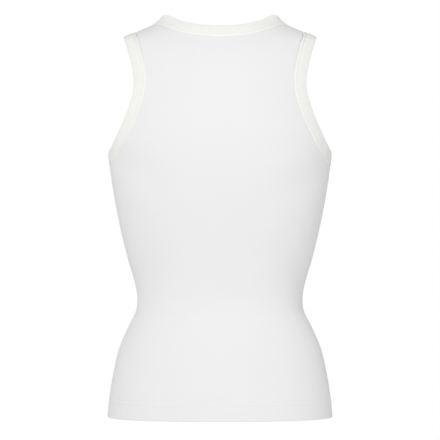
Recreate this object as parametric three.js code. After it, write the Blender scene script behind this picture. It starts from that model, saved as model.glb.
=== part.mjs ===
// A sleeveless knitted tank top with a high back neck, filled out as when it is worn, with nobody in it.
// Millimetres. +Z is up, the front faces -Y and the wearer's left side is +X.
// The origin lies between the shoulders, where the neck seam meets the shoulder seams: the wearer's
// shoulders carry the garment there.
// The cloth is one smooth surface, given by level sections. Panels and bands are strips of it with a wall.

import * as THREE from 'three';

// Cloth
const PANEL_WALL = 1.2; // single layer of fine jersey, inwards from the outside surface
const SEAM_GAP = 0.3; // between neighbouring pieces

// Hem: the panels' own edge, turned up and stitched
const HEM_HEIGHT = -547;
const HEM_DEPTH = 28;
const HEM_STEP = 1.2; // height over which the turned-up layer ends
const HEM_PROUD = 0.8; // how far the turned-up layer stands out

// Bindings: a folded band, sewn on at its lower edge, with the fold as the opening's edge
const ARMHOLE_BAND_WIDTH = 19.5;
const NECKBAND_WIDTH = 18.5;
const NECK_SIDE_HEIGHT = 13.2; // the neckband's fold over the shoulder seam
const NECK_BACK_HEIGHT = -2.2; // the fold at centre back
const NECK_FRONT_HEIGHT = -72; // the fold at centre front
const ARMHOLE_TOP_HEIGHT = -16.5;
const ARMHOLE_BOTTOM_HEIGHT = -177;

// How finely the pieces are divided
const HEM_ROWS = 3;
const SIDE_SEAM_ROWS = 14;
const ARMHOLE_HALF_STEPS = 22;
const SHOULDER_COLUMNS = 4;
const NECK_BACK_HALF_STEPS = 10;
const NECK_FRONT_HALF_STEPS = 17;
const NECK_FRONT_SIDE_STEPS = 10; // of those, the steps down the strap; the rest run under the neck
const WALK_STEP = 1.5;
const RELAX_PASSES = 300;
const HALVINGS = 50; // when an angle is searched for
const FINE_SAMPLES = 40; // along each step of a loop

const BODY_RADIUS = 115; // turns an angle into a distance round the body

// Level sections. half: half of the width. back and front: Y on the centre lines. side: Y of the widest
// point. round: the section's exponent, 2 for an ellipse and more for a squarer one.
const SECTIONS = [
  { z: -555, half: 158.2, back: 108.0, front: -125.5, side: -8, roundBack: 2.4, roundFront: 2.3 },
  { z: -518, half: 154.7, back: 103.5, front: -123.0, side: -9, roundBack: 2.4, roundFront: 2.3 },
  { z: -484, half: 149.2, back: 95.0, front: -118.5, side: -10, roundBack: 2.3, roundFront: 2.3 },
  { z: -450, half: 140.9, back: 83.5, front: -113.0, side: -11, roundBack: 2.3, roundFront: 2.25 },
  { z: -417, half: 126.5, back: 72.5, front: -108.0, side: -12, roundBack: 2.3, roundFront: 2.2 },
  { z: -399, half: 118.0, back: 69.0, front: -106.5, side: -12, roundBack: 2.3, roundFront: 2.2 },
  { z: -383, half: 116.0, back: 68.0, front: -106.0, side: -12, roundBack: 2.3, roundFront: 2.2 },
  { z: -361, half: 119.2, back: 69.5, front: -107.5, side: -12, roundBack: 2.3, roundFront: 2.2 },
  { z: -328, half: 128.6, back: 74.5, front: -113.5, side: -11, roundBack: 2.3, roundFront: 2.2 },
  { z: -282, half: 139.8, back: 83.0, front: -125.0, side: -9, roundBack: 2.35, roundFront: 2.3 },
  { z: -238, half: 148.2, back: 90.5, front: -131.5, side: -7, roundBack: 2.4, roundFront: 2.4 },
  { z: -193, half: 154.6, back: 95.0, front: -122.0, side: -5, roundBack: 2.4, roundFront: 2.4 },
  { z: -150, half: 156.6, back: 95.0, front: -99.5, side: -2, roundBack: 2.4, roundFront: 2.3 },
  { z: -100, half: 151.5, back: 88.0, front: -71.0, side: 0, roundBack: 2.3, roundFront: 2.2 },
  { z: -60, half: 148.5, back: 77.0, front: -53.5, side: 0, roundBack: 2.2, roundFront: 2.1 },
  { z: -33, half: 146.0, back: 65.5, front: -45.0, side: 0, roundBack: 2.1, roundFront: 2.0 },
  { z: -18, half: 138.0, back: 57.0, front: -41.0, side: 0, roundBack: 2.0, roundFront: 2.0 },
  { z: -8, half: 116.0, back: 51.5, front: -38.5, side: 0, roundBack: 2.0, roundFront: 2.0 },
  { z: -1, half: 99.4, back: 46.8, front: -37.0, side: 0, roundBack: 2.05, roundFront: 2.0 },
  { z: 4, half: 89.6, back: 43.2, front: -36.0, side: 0, roundBack: 2.1, roundFront: 2.0 },
  { z: 14, half: 79.8, back: 37.0, front: -34.5, side: 0, roundBack: 2.2, roundFront: 2.0 },
  { z: 24, half: 70.5, back: 32.0, front: -33.5, side: 0, roundBack: 2.3, roundFront: 2.0 },
];

// The fold of the armhole band: half of the width left between the two armholes, on the back and front.
const ARMHOLE_WIDTHS = [
  { z: -168, back: 150.4, front: 150.0 },
  { z: -156, back: 143.9, front: 141.5 },
  { z: -138, back: 135.3, front: 130.5 },
  { z: -112, back: 125.5, front: 119.0 },
  { z: -82, back: 119.4, front: 114.0 },
  { z: -56, back: 123.0, front: 117.0 },
  { z: -36, back: 128.4, front: 123.0 },
  { z: -23, back: 133.2, front: 130.5 },
];

// The fold of the neckband: half of the neck opening's width at each height.
const NECK_WIDTHS_BACK = [
  { z: 12.2, half: 68.5 },
  { z: 8.6, half: 61.5 },
  { z: 4.6, half: 51.5 },
  { z: 1.2, half: 38.5 },
  { z: -1.2, half: 20 },
];
const NECK_WIDTHS_FRONT = [
  { z: 7, half: 78.2 },
  { z: -2, half: 75.2 },
  { z: -15, half: 70.8 },
  { z: -30, half: 64.2 },
  { z: -46, half: 54 },
  { z: -59, half: 40.5 },
  { z: -68, half: 22 },
];

// Soft hollows where the snug cloth spans from the shoulder blades and hips to the waist. angle and z are
// the middle, lean the tilt from level, length and width the hollow's half sizes, depth how far it sinks.
const HOLLOWS = [
  { angle: 43, z: -203, lean: -24, length: 44, width: 20, depth: 2.2 },
  { angle: 139, z: -216, lean: 30, length: 50, width: 22, depth: 2.4 },
  { angle: 34, z: -342, lean: 28, length: 46, width: 22, depth: 1.8 },
  { angle: 147, z: -350, lean: -34, length: 50, width: 20, depth: 2.2 },
  { angle: 118, z: -398, lean: -28, length: 48, width: 16, depth: 1.2 },
  { angle: -40, z: -300, lean: 30, length: 48, width: 20, depth: 1.8 },
  { angle: -143, z: -308, lean: -26, length: 44, width: 22, depth: 2.0 },
  { angle: -62, z: -372, lean: 20, length: 50, width: 15, depth: 1.2 },
];

// A band's cross-section, as shares of its width from the fold to the seam, and heights off the surface
const BAND_SECTION = [
  { across: 0.0, height: -0.35 },
  { across: 0.03, height: 0.3 },
  { across: 0.16, height: 0.75 },
  { across: 0.5, height: 0.95 },
  { across: 0.84, height: 0.75 },
  { across: 0.97, height: 0.3 },
  { across: 1.0, height: -0.3 },
  { across: 0.98, height: -1.2 },
  { across: 0.5, height: -1.35 },
  { across: 0.03, height: -1.2 },
];

const BODY_COLOUR = 0xf3f3f5;
const BAND_COLOUR = 0xf6f6f2;

const radians = THREE.MathUtils.degToRad;

// Cubic Hermite interpolation through values at rising positions, with parabola-fit slopes.
function splineThrough(positions, values, closed = false) {
  const last = positions.length - 1;
  const slopeBetween = (i) => (values[i + 1] - values[i]) / (positions[i + 1] - positions[i]);
  const blend = (before, after, slopeBefore, slopeAfter) =>
    (slopeAfter * before + slopeBefore * after) / (before + after);
  const slopes = positions.map((_, i) => {
    const inside = i > 0 && i < last;
    if (!inside && !closed) return i === 0 ? slopeBetween(0) : slopeBetween(last - 1);
    const before = inside ? i - 1 : last - 1;
    const after = inside ? i : 0;
    return blend(
      positions[before + 1] - positions[before],
      positions[after + 1] - positions[after],
      slopeBetween(before),
      slopeBetween(after),
    );
  });
  return (at) => {
    let i = 0;
    while (i < last - 1 && at > positions[i + 1]) i += 1;
    const span = positions[i + 1] - positions[i];
    const t = (at - positions[i]) / span;
    const t2 = t * t;
    const t3 = t2 * t;
    return (
      (2 * t3 - 3 * t2 + 1) * values[i] +
      (t3 - 2 * t2 + t) * span * slopes[i] +
      (3 * t2 - 2 * t3) * values[i + 1] +
      (t3 - t2) * span * slopes[i + 1]
    );
  };
}

// The garment's outside surface
const sectionColumn = (name) => splineThrough(SECTIONS.map((row) => row.z), SECTIONS.map((row) => row[name]));
const halfWidth = sectionColumn('half');
const backDepth = sectionColumn('back');
const frontDepth = sectionColumn('front');
const sideDepth = sectionColumn('side');
const roundBack = sectionColumn('roundBack');
const roundFront = sectionColumn('roundFront');

// angle runs round the body in radians: 0 at the wearer's left side, a quarter turn at centre back.
function smoothPoint(angle, z) {
  const across = Math.cos(angle);
  const along = Math.sin(angle);
  const power = along >= 0 ? roundBack(z) : roundFront(z);
  const reach = (Math.abs(across) ** power + Math.abs(along) ** power) ** (-1 / power);
  const middle = sideDepth(z);
  const depth = along >= 0 ? backDepth(z) - middle : middle - frontDepth(z);
  return new THREE.Vector3(halfWidth(z) * across * reach, middle + depth * along * reach, z);
}

function tangentsAt(pointAt, angle, z) {
  const turn = 0.002;
  const rise = 0.25;
  return {
    round: pointAt(angle + turn, z).sub(pointAt(angle - turn, z)).divideScalar(2 * turn),
    up: pointAt(angle, z + rise).sub(pointAt(angle, z - rise)).divideScalar(2 * rise),
  };
}

function normalAt(pointAt, angle, z) {
  const { round, up } = tangentsAt(pointAt, angle, z);
  return round.cross(up).normalize();
}

function hollowAt(angle, z) {
  return HOLLOWS.reduce((sum, hollow) => {
    const turned = angle - radians(hollow.angle);
    const round = Math.atan2(Math.sin(turned), Math.cos(turned)) * BODY_RADIUS;
    const up = z - hollow.z;
    const lean = radians(hollow.lean);
    const along = (round * Math.cos(lean) + up * Math.sin(lean)) / hollow.length;
    const across = (up * Math.cos(lean) - round * Math.sin(lean)) / hollow.width;
    return sum + hollow.depth * Math.exp(-along * along - across * across);
  }, 0);
}

function surfacePoint(angle, z) {
  const point = smoothPoint(angle, z);
  return point.addScaledVector(normalAt(smoothPoint, angle, z), -hollowAt(angle, z));
}

function offSurface(place, height) {
  const point = surfacePoint(place.angle, place.z);
  return point.addScaledVector(normalAt(surfacePoint, place.angle, place.z), height);
}

// The angle at which the surface has a given half-width. facing is 1 on the back and -1 on the front.
function angleForWidth(half, z, facing) {
  let low = 0;
  let high = Math.PI / 2;
  for (let i = 0; i < HALVINGS; i += 1) {
    const middle = (low + high) / 2;
    if (smoothPoint(facing * middle, z).x > half) low = middle;
    else high = middle;
  }
  return (facing * (low + high)) / 2;
}

// A closed curve through places on the surface, as steps of equal length between the listed stops.
function evenLoop(places, stops) {
  const flat = places.concat(places[0]).map((place, i) => ({
    x: place.angle * BODY_RADIUS + (i === places.length ? place.turns ?? 0 : 0),
    z: place.z,
  }));
  const far = [0];
  flat.slice(1).forEach((spot, i) => far.push(far[i] + Math.hypot(spot.x - flat[i].x, spot.z - flat[i].z)));
  const xAt = splineThrough(far, flat.map((spot) => spot.x), true);
  const zAt = splineThrough(far, flat.map((spot) => spot.z), true);
  const placeAt = (distance) => ({ angle: xAt(distance) / BODY_RADIUS, z: zAt(distance) });
  const loop = [];
  stops.forEach(({ from, to, steps }) => {
    const start = far[from];
    const end = far[to];
    const samples = FINE_SAMPLES * steps;
    const fineStep = (end - start) / samples;
    const fine = Array.from({ length: samples + 1 }, (_, i) => placeAt(start + fineStep * i));
    const run = [0];
    fine.slice(1).forEach((place, i) => {
      const before = smoothPoint(fine[i].angle, fine[i].z);
      run.push(run[i] + smoothPoint(place.angle, place.z).distanceTo(before));
    });
    for (let step = 0; step < steps; step += 1) {
      const wanted = (run[samples] * step) / steps;
      let i = 0;
      while (run[i + 1] < wanted) i += 1;
      const share = (wanted - run[i]) / (run[i + 1] - run[i]);
      loop.push({
        angle: fine[i].angle + share * (fine[i + 1].angle - fine[i].angle),
        z: fine[i].z + share * (fine[i + 1].z - fine[i].z),
      });
    }
  });
  return loop;
}

// Walks over the surface from a place, square to the loop there, and returns the places at the distances.
function walkOff(loop, index, distances) {
  const count = loop.length;
  const spot = (i) => smoothPoint(loop[(i + count) % count].angle, loop[(i + count) % count].z);
  const start = loop[index];
  const arriving = spot(index).sub(spot(index - 1)).normalize();
  const leaving = spot(index + 1).sub(spot(index)).normalize();
  const heading = arriving.add(leaving).cross(normalAt(smoothPoint, start.angle, start.z));
  let { angle, z } = start;
  let gone = 0;
  return distances.map((distance) => {
    const steps = Math.max(1, Math.ceil((distance - gone) / WALK_STEP));
    const stride = (distance - gone) / steps;
    for (let i = 0; i < steps; i += 1) {
      const { round, up } = tangentsAt(smoothPoint, angle, z);
      const normal = round.clone().cross(up).normalize();
      heading.addScaledVector(normal, -heading.dot(normal)).normalize();
      const rr = round.dot(round);
      const ru = round.dot(up);
      const uu = up.dot(up);
      const hr = heading.dot(round) * stride;
      const hu = heading.dot(up) * stride;
      const scale = rr * uu - ru * ru;
      angle += (hr * uu - hu * ru) / scale;
      z += (hu * rr - hr * ru) / scale;
    }
    gone = distance;
    return { angle, z };
  });
}

// The folds of the bands. The armhole loop starts under the arm and rises over the back.
function armholeFold() {
  const back = ARMHOLE_WIDTHS.map((row) => ({ angle: angleForWidth(row.back, row.z, 1), z: row.z }));
  const front = ARMHOLE_WIDTHS.map((row) => ({ angle: angleForWidth(row.front, row.z, -1), z: row.z }));
  const places = [
    { angle: 0, z: ARMHOLE_BOTTOM_HEIGHT },
    ...back,
    { angle: 0, z: ARMHOLE_TOP_HEIGHT },
    ...front.reverse(),
  ];
  const top = back.length + 1;
  return evenLoop(places, [
    { from: 0, to: top, steps: ARMHOLE_HALF_STEPS },
    { from: top, to: places.length, steps: ARMHOLE_HALF_STEPS },
  ]);
}

// The neck loop starts over the wearer's left shoulder and runs round the back.
function neckFold() {
  const mirror = (place) => ({ angle: Math.PI - place.angle, z: place.z });
  const back = NECK_WIDTHS_BACK.map((row) => ({ angle: angleForWidth(row.half, row.z, 1), z: row.z }));
  const front = NECK_WIDTHS_FRONT.map((row) => ({ angle: angleForWidth(row.half, row.z, -1), z: row.z }));
  const places = [
    { angle: 0, z: NECK_SIDE_HEIGHT, turns: 2 * Math.PI * BODY_RADIUS },
    ...back,
    { angle: Math.PI / 2, z: NECK_BACK_HEIGHT },
    ...back.map(mirror).reverse(),
    { angle: Math.PI, z: NECK_SIDE_HEIGHT },
    ...front.map(mirror),
    { angle: (3 * Math.PI) / 2, z: NECK_FRONT_HEIGHT },
    ...front.map((place) => ({ angle: place.angle + 2 * Math.PI, z: place.z })).reverse(),
  ];
  const half = 2 * (back.length + 1);
  return evenLoop(places, [
    { from: 0, to: half, steps: 2 * NECK_BACK_HALF_STEPS },
    { from: half, to: places.length, steps: 2 * NECK_FRONT_HALF_STEPS },
  ]);
}

// A closed body from its four-cornered faces
function closedGeometry(faces) {
  const corners = [];
  faces.forEach(([p, q, r, s]) => {
    if (p.distanceTo(r) <= q.distanceTo(s)) corners.push(p, q, r, p, r, s);
    else corners.push(p, q, s, q, r, s);
  });
  let volume = 0;
  for (let i = 0; i < corners.length; i += 3) {
    volume += corners[i].dot(corners[i + 1].clone().cross(corners[i + 2])) / 6;
  }
  if (volume < 0) corners.reverse();
  const geometry = new THREE.BufferGeometry().setFromPoints(corners);
  geometry.computeVertexNormals();
  return geometry;
}

// A wall between an outer and an inner grid of points, closed along every border. A grid may have gaps.
function wallGeometry(outer, inner) {
  const hasPair = (j, i) => Boolean(outer[j]?.[i] && outer[j][i + 1]);
  const hasCell = (j, i) => hasPair(j, i) && hasPair(j + 1, i);
  const faces = [];
  for (let j = 0; j < outer.length - 1; j += 1) {
    for (let i = 0; i < outer[j].length - 1; i += 1) {
      if (!hasCell(j, i)) continue;
      const ring = [[j, i], [j, i + 1], [j + 1, i + 1], [j + 1, i]];
      const beside = [[j - 1, i], [j, i + 1], [j + 1, i], [j, i - 1]];
      faces.push(ring.map(([row, column]) => outer[row][column]));
      faces.push(ring.map(([row, column]) => inner[row][column]).reverse());
      beside.forEach(([row, column], side) => {
        if (hasCell(row, column)) return;
        const [fromRow, fromColumn] = ring[side];
        const [toRow, toColumn] = ring[(side + 1) % 4];
        faces.push([
          outer[toRow][toColumn],
          outer[fromRow][fromColumn],
          inner[fromRow][fromColumn],
          inner[toRow][toColumn],
        ]);
      });
    }
  }
  return closedGeometry(faces);
}

// A ring whose cross-sections are closed loops of points
function ringGeometry(sections) {
  const faces = [];
  sections.forEach((section, j) => {
    const next = sections[(j + 1) % sections.length];
    section.forEach((point, i) => {
      const beside = (i + 1) % section.length;
      faces.push([point, section[beside], next[beside], next[i]]);
    });
  });
  return closedGeometry(faces);
}

function bandGeometry(fold, width, mirrored = false) {
  const shares = [...new Set(BAND_SECTION.map((spot) => spot.across))].sort((a, b) => a - b);
  const sections = fold.map((_, index) => {
    const places = walkOff(fold, index, shares.map((share) => share * width));
    return BAND_SECTION.map((spot) => {
      const place = places[shares.indexOf(spot.across)];
      const angle = mirrored ? Math.PI - place.angle : place.angle;
      return offSurface({ angle, z: place.z }, spot.height);
    });
  });
  return ringGeometry(sections);
}

// The panels
const ARMHOLE_FOLD = armholeFold();
const NECK_FOLD = neckFold();
const seamOf = (fold, width) => fold.map((_, index) => walkOff(fold, index, [width + SEAM_GAP])[0]);
const ARMHOLE_SEAM = seamOf(ARMHOLE_FOLD, ARMHOLE_BAND_WIDTH);
const NECK_SEAM = seamOf(NECK_FOLD, NECKBAND_WIDTH);

// One half of a panel's outline, in angles counted from the side towards the panel's middle: the left edge
// from the hem to the shoulder, and the neck from the shoulder to the middle.
function panelEdges(facing) {
  const isBack = facing > 0;
  const clear = (place) => {
    const { round } = tangentsAt(smoothPoint, facing * place.angle, place.z);
    return { angle: place.angle + SEAM_GAP / 2 / round.length(), z: place.z };
  };
  const halfOf = (seam, steps) =>
    Array.from({ length: steps + 1 }, (_, i) => {
      const place = seam[(facing * i + seam.length) % seam.length];
      const turned = facing * place.angle;
      return { angle: turned < -1 ? turned + 2 * Math.PI : turned, z: place.z };
    });
  const armhole = halfOf(ARMHOLE_SEAM, ARMHOLE_HALF_STEPS);
  const neck = halfOf(NECK_SEAM, isBack ? NECK_BACK_HALF_STEPS : NECK_FRONT_HALF_STEPS);
  const underarm = armhole[0];
  const hemTop = HEM_HEIGHT + HEM_DEPTH;
  const heights = [HEM_HEIGHT, HEM_HEIGHT + HEM_DEPTH / 2, hemTop - HEM_STEP];
  for (let row = 0; row < SIDE_SEAM_ROWS; row += 1) {
    heights.push(hemTop + ((underarm.z - hemTop) * row) / SIDE_SEAM_ROWS);
  }
  const side = heights.map((z) =>
    clear({ angle: (underarm.angle * (z - HEM_HEIGHT)) / (underarm.z - HEM_HEIGHT), z }),
  );
  armhole[0] = clear(underarm);
  armhole[ARMHOLE_HALF_STEPS] = clear(armhole[ARMHOLE_HALF_STEPS]);
  neck[0] = clear(neck[0]);
  return { left: [...side, ...armhole], neck };
}

// Evens a grid of places out, with its borders and its first rows kept, so that no row or column crosses
// another. Each place moves to where the grid's stretch and shear over the surface balance.
function relaxGrid(places, firstRow) {
  const pointAt = (place) => place && smoothPoint(place.angle, place.z);
  const points = places.map((line) => line.map(pointAt));
  const steps = [-1, 0, 1];
  const isFree = (j, i) => steps.every((up) => steps.every((over) => places[j + up]?.[i + over]));
  for (let pass = 0; pass < RELAX_PASSES; pass += 1) {
    for (let j = firstRow; j < places.length - 1; j += 1) {
      for (let i = 1; i < places[j].length - 1; i += 1) {
        if (!isFree(j, i)) continue;
        const across = points[j][i + 1].clone().sub(points[j][i - 1]);
        const up = points[j + 1][i].clone().sub(points[j - 1][i]);
        const rowPull = up.dot(up);
        const columnPull = across.dot(across);
        const shear = across.dot(up) / 2;
        const balance = (name) => {
          const [below, here, above] = [places[j - 1], places[j], places[j + 1]];
          const twist = above[i + 1][name] - above[i - 1][name] - below[i + 1][name] + below[i - 1][name];
          const inRow = rowPull * (here[i + 1][name] + here[i - 1][name]);
          const inColumn = columnPull * (above[i][name] + below[i][name]);
          return (inRow + inColumn - shear * twist) / (2 * (rowPull + columnPull));
        };
        places[j][i] = { angle: balance('angle'), z: balance('z') };
        points[j][i] = pointAt(places[j][i]);
      }
    }
  }
}

// A panel is a grid with a notch for the neck, facing 1 for the back and -1 for the front.
function panelGeometry(facing) {
  const { left, neck } = panelEdges(facing);
  const sideSteps = facing > 0 ? 0 : NECK_FRONT_SIDE_STEPS;
  const lastRow = left.length - 1;
  const notchRow = lastRow - sideSteps;
  const halfColumns = SHOULDER_COLUMNS + neck.length - 1 - sideSteps;
  const hemTop = HEM_HEIGHT + HEM_DEPTH;
  const neckMiddle = neck[neck.length - 1].z;
  const between = (from, to, share) => ({
    angle: from.angle + (to.angle - from.angle) * share,
    z: from.z + (to.z - from.z) * share,
  });
  const bodyPlace = (row, column) => {
    const share = column / halfColumns;
    const rise = Math.max(0, row - HEM_ROWS) / (notchRow - HEM_ROWS);
    const middle = row <= HEM_ROWS ? left[row].z : hemTop + (neckMiddle - hemTop) * rise;
    const place = between(left[row], { angle: Math.PI / 2, z: middle }, share);
    return { angle: place.angle, z: middle + (left[row].z - middle) * (1 - share) ** 2 };
  };
  const halfPlace = (row, column) => {
    if (row < notchRow) return bodyPlace(row, column);
    const neckStep = lastRow - row;
    if (column <= SHOULDER_COLUMNS) return between(left[row], neck[neckStep], column / SHOULDER_COLUMNS);
    return row === notchRow ? neck[neckStep + column - SHOULDER_COLUMNS] : null;
  };
  const places = left.map((_, row) =>
    Array.from({ length: 2 * halfColumns + 1 }, (__, column) => {
      const place = halfPlace(row, Math.min(column, 2 * halfColumns - column));
      if (!place) return null;
      const angle = column <= halfColumns ? place.angle : Math.PI - place.angle;
      return { angle: facing * angle, z: place.z };
    }),
  );
  relaxGrid(places, HEM_ROWS + 1);
  const proud = (row) => (row < HEM_ROWS ? HEM_PROUD : 0);
  const outer = places.map((line, row) => line.map((place) => place && offSurface(place, proud(row))));
  const inner = places.map((line) => line.map((place) => place && offSurface(place, -PANEL_WALL)));
  return wallGeometry(outer, inner);
}

// The garment
const garment = new THREE.Group();
const cloth = (color) => new THREE.MeshStandardMaterial({ color, roughness: 0.85, metalness: 0 });

function addPiece(name, geometry, color) {
  const mesh = new THREE.Mesh(geometry, cloth(color));
  mesh.name = name;
  garment.add(mesh);
}

addPiece('back_panel', panelGeometry(1), BODY_COLOUR);
addPiece('front_panel', panelGeometry(-1), BODY_COLOUR);
addPiece('neckband', bandGeometry(NECK_FOLD, NECKBAND_WIDTH), BAND_COLOUR);
addPiece('armhole_band_left', bandGeometry(ARMHOLE_FOLD, ARMHOLE_BAND_WIDTH), BAND_COLOUR);
addPiece('armhole_band_right', bandGeometry(ARMHOLE_FOLD, ARMHOLE_BAND_WIDTH, true), BAND_COLOUR);

export default garment;
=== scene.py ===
"""A white sleeveless knitted top, filled out as when it is worn, with nobody in it.

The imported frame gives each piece's place. The garment's outside surface is worked out here from its level
sections, and the panels, bindings and stitches are thin shells and threads on it. Lengths are millimetres
while a shape is worked out, and become metres when it is made into a mesh.
"""

import logging
import math
from collections.abc import Callable, Sequence
from dataclasses import dataclass, field
from enum import Enum
from functools import cached_property

import bpy
import numpy as np
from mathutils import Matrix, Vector
from mathutils.kdtree import KDTree

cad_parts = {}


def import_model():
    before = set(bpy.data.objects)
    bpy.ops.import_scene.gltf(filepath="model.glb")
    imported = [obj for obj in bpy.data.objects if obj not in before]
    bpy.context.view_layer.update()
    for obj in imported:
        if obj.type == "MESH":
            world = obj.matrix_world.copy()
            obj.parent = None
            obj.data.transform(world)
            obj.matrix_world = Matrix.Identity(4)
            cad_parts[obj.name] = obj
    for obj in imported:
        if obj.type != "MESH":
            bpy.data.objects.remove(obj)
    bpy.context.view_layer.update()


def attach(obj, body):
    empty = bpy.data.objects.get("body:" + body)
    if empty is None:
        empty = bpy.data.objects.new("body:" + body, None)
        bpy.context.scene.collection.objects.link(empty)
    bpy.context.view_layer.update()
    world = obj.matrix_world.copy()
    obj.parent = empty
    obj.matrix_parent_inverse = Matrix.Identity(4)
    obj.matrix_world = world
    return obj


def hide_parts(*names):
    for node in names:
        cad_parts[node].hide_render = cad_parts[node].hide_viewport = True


log = logging.getLogger("tank_top")

Array = np.ndarray
METRES = 0.001  # a millimetre

SEAM_LAP = 0.05  # how far a panel reaches into its neighbour at a seam, so that no slit shows
WALK_STEP = 0.2  # when the surface is walked over, square to a loop
LOOP_DENSITY = 10  # fine steps to each step of a loop
LOOP_SAMPLES = 40  # samples to each step, from which the even steps are taken
HALVINGS = 50  # when an angle is searched for
EVENING_PASSES = 80  # over the headings square to a loop, so that paths from it don't cross
STITCH_LIFT = 0.08  # of a stitch's middle line above the cloth


class Side(Enum):
    """The two panels, by the way they face along Y."""

    BACK = 1
    FRONT = -1


class Cloth(Enum):
    """The record's material slots."""

    JERSEY = "jersey"
    BINDING = "binding"


def spline_through(
    positions: Sequence[float], values: Array, closed: bool = False
) -> Callable[[Array], Array]:
    """Interpolate smoothly through values at rising positions.

    Args:
        positions: where the values stand, rising.
        values: one value, or one row of values, for each position.
        closed: whether the last value joins the first.

    Returns:
        A function from positions to values.
    """
    stops = np.asarray(positions, float)
    rows = np.asarray(values, float)
    shape = (-1,) + (1,) * (rows.ndim - 1)
    spans = np.diff(stops).reshape(shape)
    rises = np.diff(rows, axis=0) / spans
    inner = (rises[:-1] * spans[1:] + rises[1:] * spans[:-1]) / (spans[:-1] + spans[1:])
    first, last = rises[0], rises[-1]
    if closed:
        first = last = (rises[-1] * spans[0] + rises[0] * spans[-1]) / (spans[0] + spans[-1])
    slopes = np.concatenate([[first], inner, [last]])

    def value_at(at: Array) -> Array:
        """Return the values at the positions."""
        at = np.asarray(at, float)
        i = np.clip(np.searchsorted(stops, at, side="left") - 1, 0, len(stops) - 2)
        span = (stops[i + 1] - stops[i])[(...,) + (None,) * (rows.ndim - 1)]
        t = (at - stops[i])[(...,) + (None,) * (rows.ndim - 1)] / span
        rise = rows[i + 1] - rows[i]
        start, end = slopes[i] * span, slopes[i + 1] * span
        return rows[i] + t * (start + t * (3 * rise - 2 * start - end + t * (start + end - 2 * rise)))

    return value_at


def bump_of(distance: Array, width: float) -> Array:
    """Return a soft bump of height 1 around distance 0."""
    return np.exp(-((distance / width) ** 2))


def soft_step(rise: Array) -> Array:
    """Return a soft step from 0 to 1, halfway where the rise is 0."""
    return 1 / (1 + np.exp(-np.clip(rise, -40, 40)))


def run_along(points: Array) -> Array:
    """Return how far each point of a line is from its start."""
    return np.concatenate([[0], np.cumsum(np.linalg.norm(np.diff(points, axis=0), axis=1))])


def mirrored(places: Array) -> Array:
    """Return places on the other side of the body's middle."""
    return places * (-1, 1) + (math.pi, 0)


def add_object(name: str, data: bpy.types.ID) -> bpy.types.Object:
    """Add an object to the scene."""
    obj = bpy.data.objects.new(name, data)
    bpy.context.scene.collection.objects.link(obj)
    return obj


def unit(vectors: Array) -> Array:
    """Return the vectors at length 1."""
    return vectors / np.linalg.norm(vectors, axis=-1, keepdims=True)


@dataclass(frozen=True)
class Section:
    """A level section of the garment.

    half is half of the width, back and front are Y on the centre lines, side is Y of the widest point, and
    round_back and round_front are exponents: 2 gives an ellipse and more a squarer form.
    """

    z: float
    half: float
    back: float
    front: float
    side: float
    round_back: float
    round_front: float


@dataclass(frozen=True)
class Hollow:
    """A soft trough in the cloth, or a ridge where its depth is negative.

    angle and z are its middle, lean its tilt from level, and length and width its half sizes.
    """

    angle: float
    z: float
    lean: float
    length: float
    width: float
    depth: float


SECTIONS = (
    # z, half, back, front, side, round_back, round_front
    Section(-555, 158.2, 108.0, -125.5, -8, 2.4, 2.3),
    Section(-518, 154.7, 103.5, -123.0, -9, 2.4, 2.3),
    Section(-484, 149.2, 95.0, -118.5, -10, 2.3, 2.3),
    Section(-450, 140.9, 83.5, -113.0, -11, 2.3, 2.25),
    Section(-417, 126.5, 72.5, -108.0, -12, 2.3, 2.2),
    Section(-399, 118.0, 69.0, -106.5, -12, 2.3, 2.2),
    Section(-383, 116.0, 68.0, -106.0, -12, 2.3, 2.2),
    Section(-361, 119.2, 69.5, -107.5, -12, 2.3, 2.2),
    Section(-328, 128.6, 74.5, -113.5, -11, 2.3, 2.2),
    Section(-282, 139.8, 83.0, -125.0, -9, 2.35, 2.3),
    Section(-238, 148.2, 90.5, -131.5, -7, 2.4, 2.4),
    Section(-193, 154.6, 95.0, -122.0, -5, 2.4, 2.4),
    Section(-150, 156.6, 95.0, -99.5, -2, 2.4, 2.3),
    Section(-100, 151.5, 88.0, -71.0, 0, 2.3, 2.2),
    Section(-60, 148.5, 77.0, -53.5, 0, 2.2, 2.1),
    Section(-33, 146.0, 65.5, -45.0, 0, 2.1, 2.0),
    Section(-18, 138.0, 57.0, -41.0, 0, 2.0, 2.0),
    Section(-8, 116.0, 51.5, -38.5, 0, 2.0, 2.0),
    Section(-1, 99.4, 46.8, -37.0, 0, 2.05, 2.0),
    Section(4, 89.6, 43.2, -36.0, 0, 2.1, 2.0),
    Section(14, 79.8, 37.0, -34.5, 0, 2.2, 2.0),
    Section(24, 70.5, 32.0, -33.5, 0, 2.3, 2.0),
)

# Broad hollows where the snug cloth spans from the shoulder blades and hips to the waist
HOLLOWS = (
    # angle, z, lean, length, width, depth
    Hollow(43, -203, -24, 44, 20, 2.2),
    Hollow(139, -216, 30, 50, 22, 2.4),
    Hollow(34, -342, 28, 46, 22, 1.8),
    Hollow(147, -350, -34, 50, 20, 2.2),
    Hollow(118, -398, -28, 48, 16, 1.2),
    Hollow(-40, -300, 30, 48, 20, 1.8),
    Hollow(-143, -308, -26, 44, 22, 2.0),
    Hollow(-62, -372, 20, 50, 15, 1.2),
)

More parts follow.
